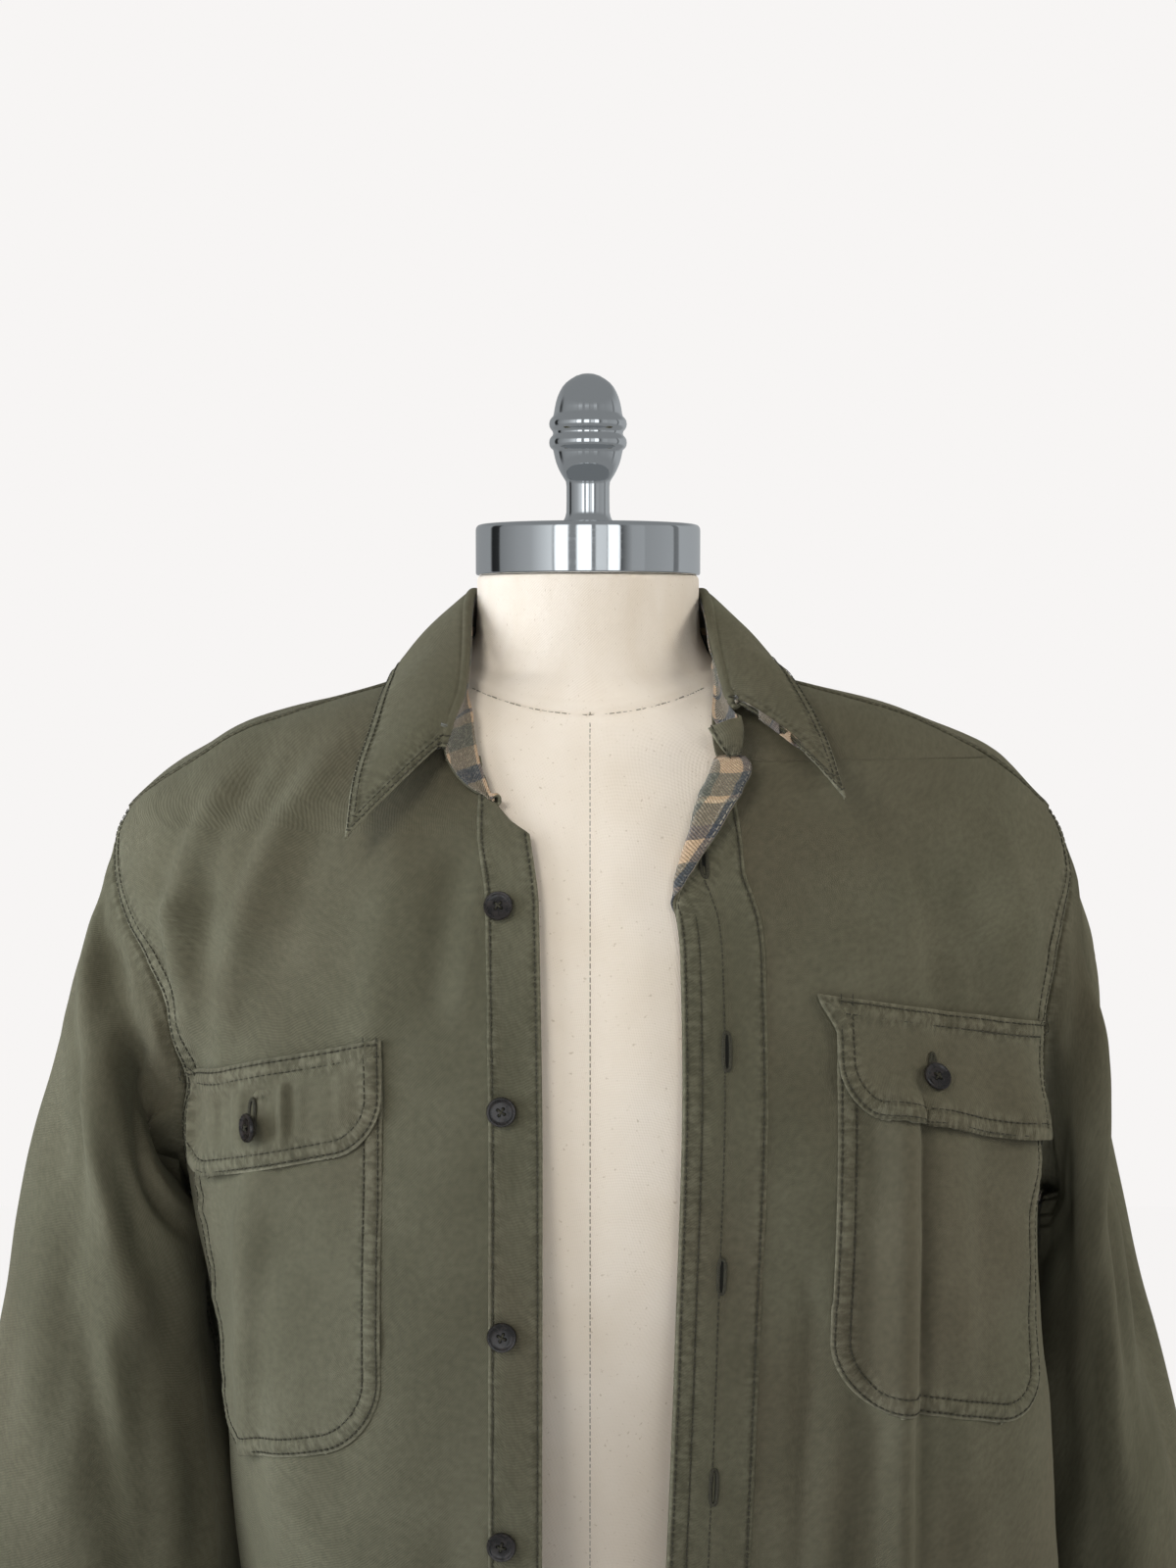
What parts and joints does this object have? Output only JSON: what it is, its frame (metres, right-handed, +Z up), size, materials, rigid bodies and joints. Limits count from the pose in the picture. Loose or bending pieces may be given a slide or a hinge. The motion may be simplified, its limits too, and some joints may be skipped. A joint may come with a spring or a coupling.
{
  "type": "shirt jacket on dress form",
  "caption": "Long-sleeved shirt jacket with a turned-down collar and flapped chest pockets, hanging open on a limbless dress form that stands on a round base.",
  "frame": {"origin": "centre of the stand's round base, on the surface that it stands on", "axes": "+Z up, the front of the shirt jacket faces -Y, the wearer's left is at +X"},
  "size_m": [0.6517, 0.33, 1.1493],
  "materials": {
    "twill": "brushed cotton twill, olive, matt",
    "flannel": "brushed cotton flannel in a common check",
    "horn": "dark four-hole buttons, polished",
    "canvas": "plain cream cotton over the form, matt",
    "chrome": "bright chrome plate"
  },
  "bodies": {
    "root": {"back": "twill", "band_facing": "flannel", "button_band": "twill", "button_cuff_left": "horn", "button_cuff_right": "horn", "button_flap_left": "horn", "button_flap_right": "horn", "button_front_1": "horn", "button_front_2": "horn", "button_front_3": "horn", "button_front_4": "horn", "button_front_5": "horn", "button_front_6": "horn", "buttonhole_band": "twill", "collar_leaf": "twill", "collar_stand": "twill", "collar_stand_lining": "flannel", "cuff_left": "twill", "cuff_right": "twill", "finial": "chrome", "flap_left": "twill", "flap_right": "twill", "form_torso": "canvas", "front_left": "twill", "front_right": "twill", "neck_cap": "chrome", "pocket_left": "twill", "pocket_right": "twill", "sleeve_left": "twill", "sleeve_right": "twill", "stand_base": "chrome", "stand_pole": "chrome", "yoke": "twill"}
  },
  "joints": []
}
